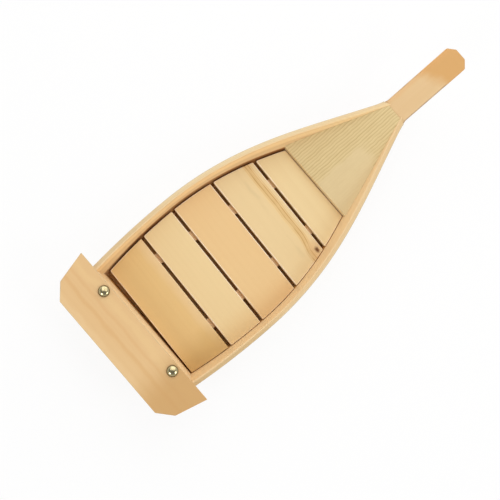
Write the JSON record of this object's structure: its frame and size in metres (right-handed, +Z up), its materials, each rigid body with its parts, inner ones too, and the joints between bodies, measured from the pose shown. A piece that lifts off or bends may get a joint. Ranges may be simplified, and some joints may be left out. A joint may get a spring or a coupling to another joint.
{
  "type": "boat-shaped serving board",
  "caption": "Boat-shaped wooden serving tray for sushi, with a raised tongue at the bow, a wide stern board with brass dome nails and a loose slatted deck that lifts out.",
  "frame": {"origin": "on the table under the middle of the whole length and width: bottom centre of the bounding box", "axes": "+X to the bow along the whole length, +Y to port, +Z up; the flat bottom lies on Z = 0"},
  "size_m": [0.42, 0.17, 0.0822],
  "materials": {
    "base_wood": "sanded pale softwood with a thin satin lacquer",
    "stem_wood": "sanded pale softwood with a thin satin lacquer",
    "side_wood": "sanded pale softwood with a thin satin lacquer",
    "transom_wood": "sanded pale softwood with a thin satin lacquer",
    "stern_wood": "sanded pale softwood with a thin satin lacquer",
    "deck_wood": "sanded pale softwood with a thin satin lacquer, with plain straight grain",
    "slat_wood_dark": "sanded pale softwood with a thin satin lacquer",
    "slat_wood_pale": "sanded pale softwood with a thin satin lacquer",
    "slat_wood_warm": "sanded pale softwood with a thin satin lacquer",
    "runner_wood": "sawn pale softwood",
    "dome_brass": "polished, slightly tarnished",
    "brad_steel": "plain bright wire"
  },
  "bodies": {
    "hull": {"bottom_plank": "base_wood", "stem_board": "stem_wood", "port_side_plank": "side_wood", "starboard_side_plank": "side_wood", "transom": "transom_wood", "stern_board": "stern_wood", "stern_nails": "dome_brass", "bow_bulkhead": "transom_wood", "bow_deck": "deck_wood", "base_brads": "brad_steel", "side_brads": "brad_steel"},
    "slatted_deck": {"slat_1": "slat_wood_dark", "slat_2": "slat_wood_pale", "slat_3": "slat_wood_warm", "slat_4": "slat_wood_pale", "slat_5": "slat_wood_pale", "port_runner": "runner_wood", "starboard_runner": "runner_wood", "slat_brads": "brad_steel"}
  },
  "joints": [
    {"name": "slatted_deck_lift", "type": "slide", "parent": "hull", "child": "slatted_deck", "axis": [0, 0, 1], "range_m": [0, 0.085]}
  ]
}
